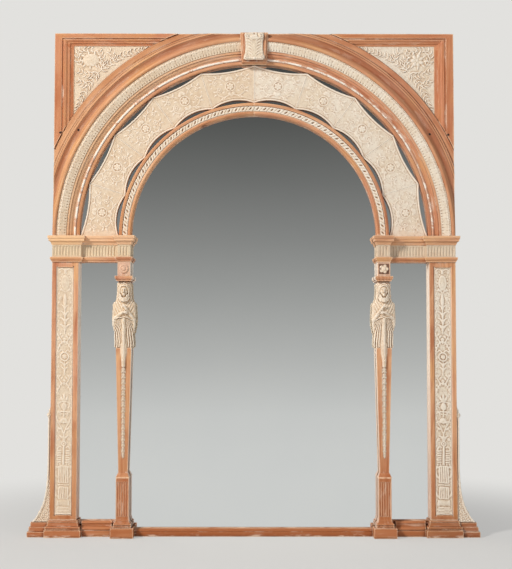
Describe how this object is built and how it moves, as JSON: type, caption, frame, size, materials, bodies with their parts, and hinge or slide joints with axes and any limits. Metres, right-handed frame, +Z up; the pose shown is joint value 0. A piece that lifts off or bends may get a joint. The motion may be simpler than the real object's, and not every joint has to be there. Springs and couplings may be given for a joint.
{
  "type": "overmantel mirror",
  "caption": "Arched overmantel mirror in a square pine frame, with pilasters, tapered herm columns, a fan of scalloped panels, cast ornament and foot consoles.",
  "frame": {"origin": "middle of the foot, on the surface that the mirror stands on, halfway between its back and its foremost plinth", "axes": "+Z up, +Y towards the wall behind, so the front faces -Y, +X to the viewer's right"},
  "size_m": [1.624, 0.106, 1.831],
  "materials": {
    "pine": "stripped and waxed pine, satin",
    "rough_pine": "bare sawn pine, matt",
    "composition": "cast composition ornament, matt, rubbed to its cream ground",
    "mirror_plate": "silvered flat glass",
    "iron": "blackened iron"
  },
  "bodies": {
    "root": {"bottom_rail": "pine", "top_rail": "rough_pine", "left_stile": "pine", "right_stile": "pine", "herm_stile_left": "pine", "herm_stile_right": "pine", "transoms": "pine", "spandrel_board_left": "pine", "spandrel_board_right": "pine", "backboards": "rough_pine", "centre_glass": "mirror_plate", "left_glass": "mirror_plate", "right_glass": "mirror_plate", "arch_glass": "mirror_plate", "inner_archivolt_left": "pine", "inner_archivolt_right": "pine", "ribbon_bands": "composition", "outer_archivolt_left": "pine", "outer_archivolt_right": "pine", "outer_beads": "composition", "leaf_bands": "composition", "fan_panels_left": "composition", "fan_panels_right": "composition", "keystone": "pine", "keystone_leaf": "composition", "spandrel_frame_left": "pine", "spandrel_frame_right": "pine", "spandrel_panel_left": "composition", "spandrel_panel_right": "composition", "architrave_left": "pine", "architrave_right": "pine", "frieze_left": "composition", "frieze_right": "composition", "cornice_left": "pine", "cornice_right": "pine", "pilaster_left": "pine", "pilaster_right": "pine", "pilaster_panel_left": "composition", "pilaster_panel_right": "composition", "pilaster_base_left": "pine", "pilaster_base_right": "pine", "herm_block_left": "pine", "herm_block_right": "pine", "herm_figure_left": "composition", "herm_figure_right": "composition", "herm_shaft_left": "pine", "herm_shaft_right": "pine", "husk_chains": "composition", "herm_pedestal_left": "pine", "herm_pedestal_right": "pine", "herm_plinths": "pine", "side_rail_left": "pine", "side_rail_right": "pine", "middle_rail": "pine", "console_left": "composition", "console_right": "composition", "console_bases": "pine", "hanging_plates": "iron", "plate_screws": "iron"}
  },
  "joints": []
}
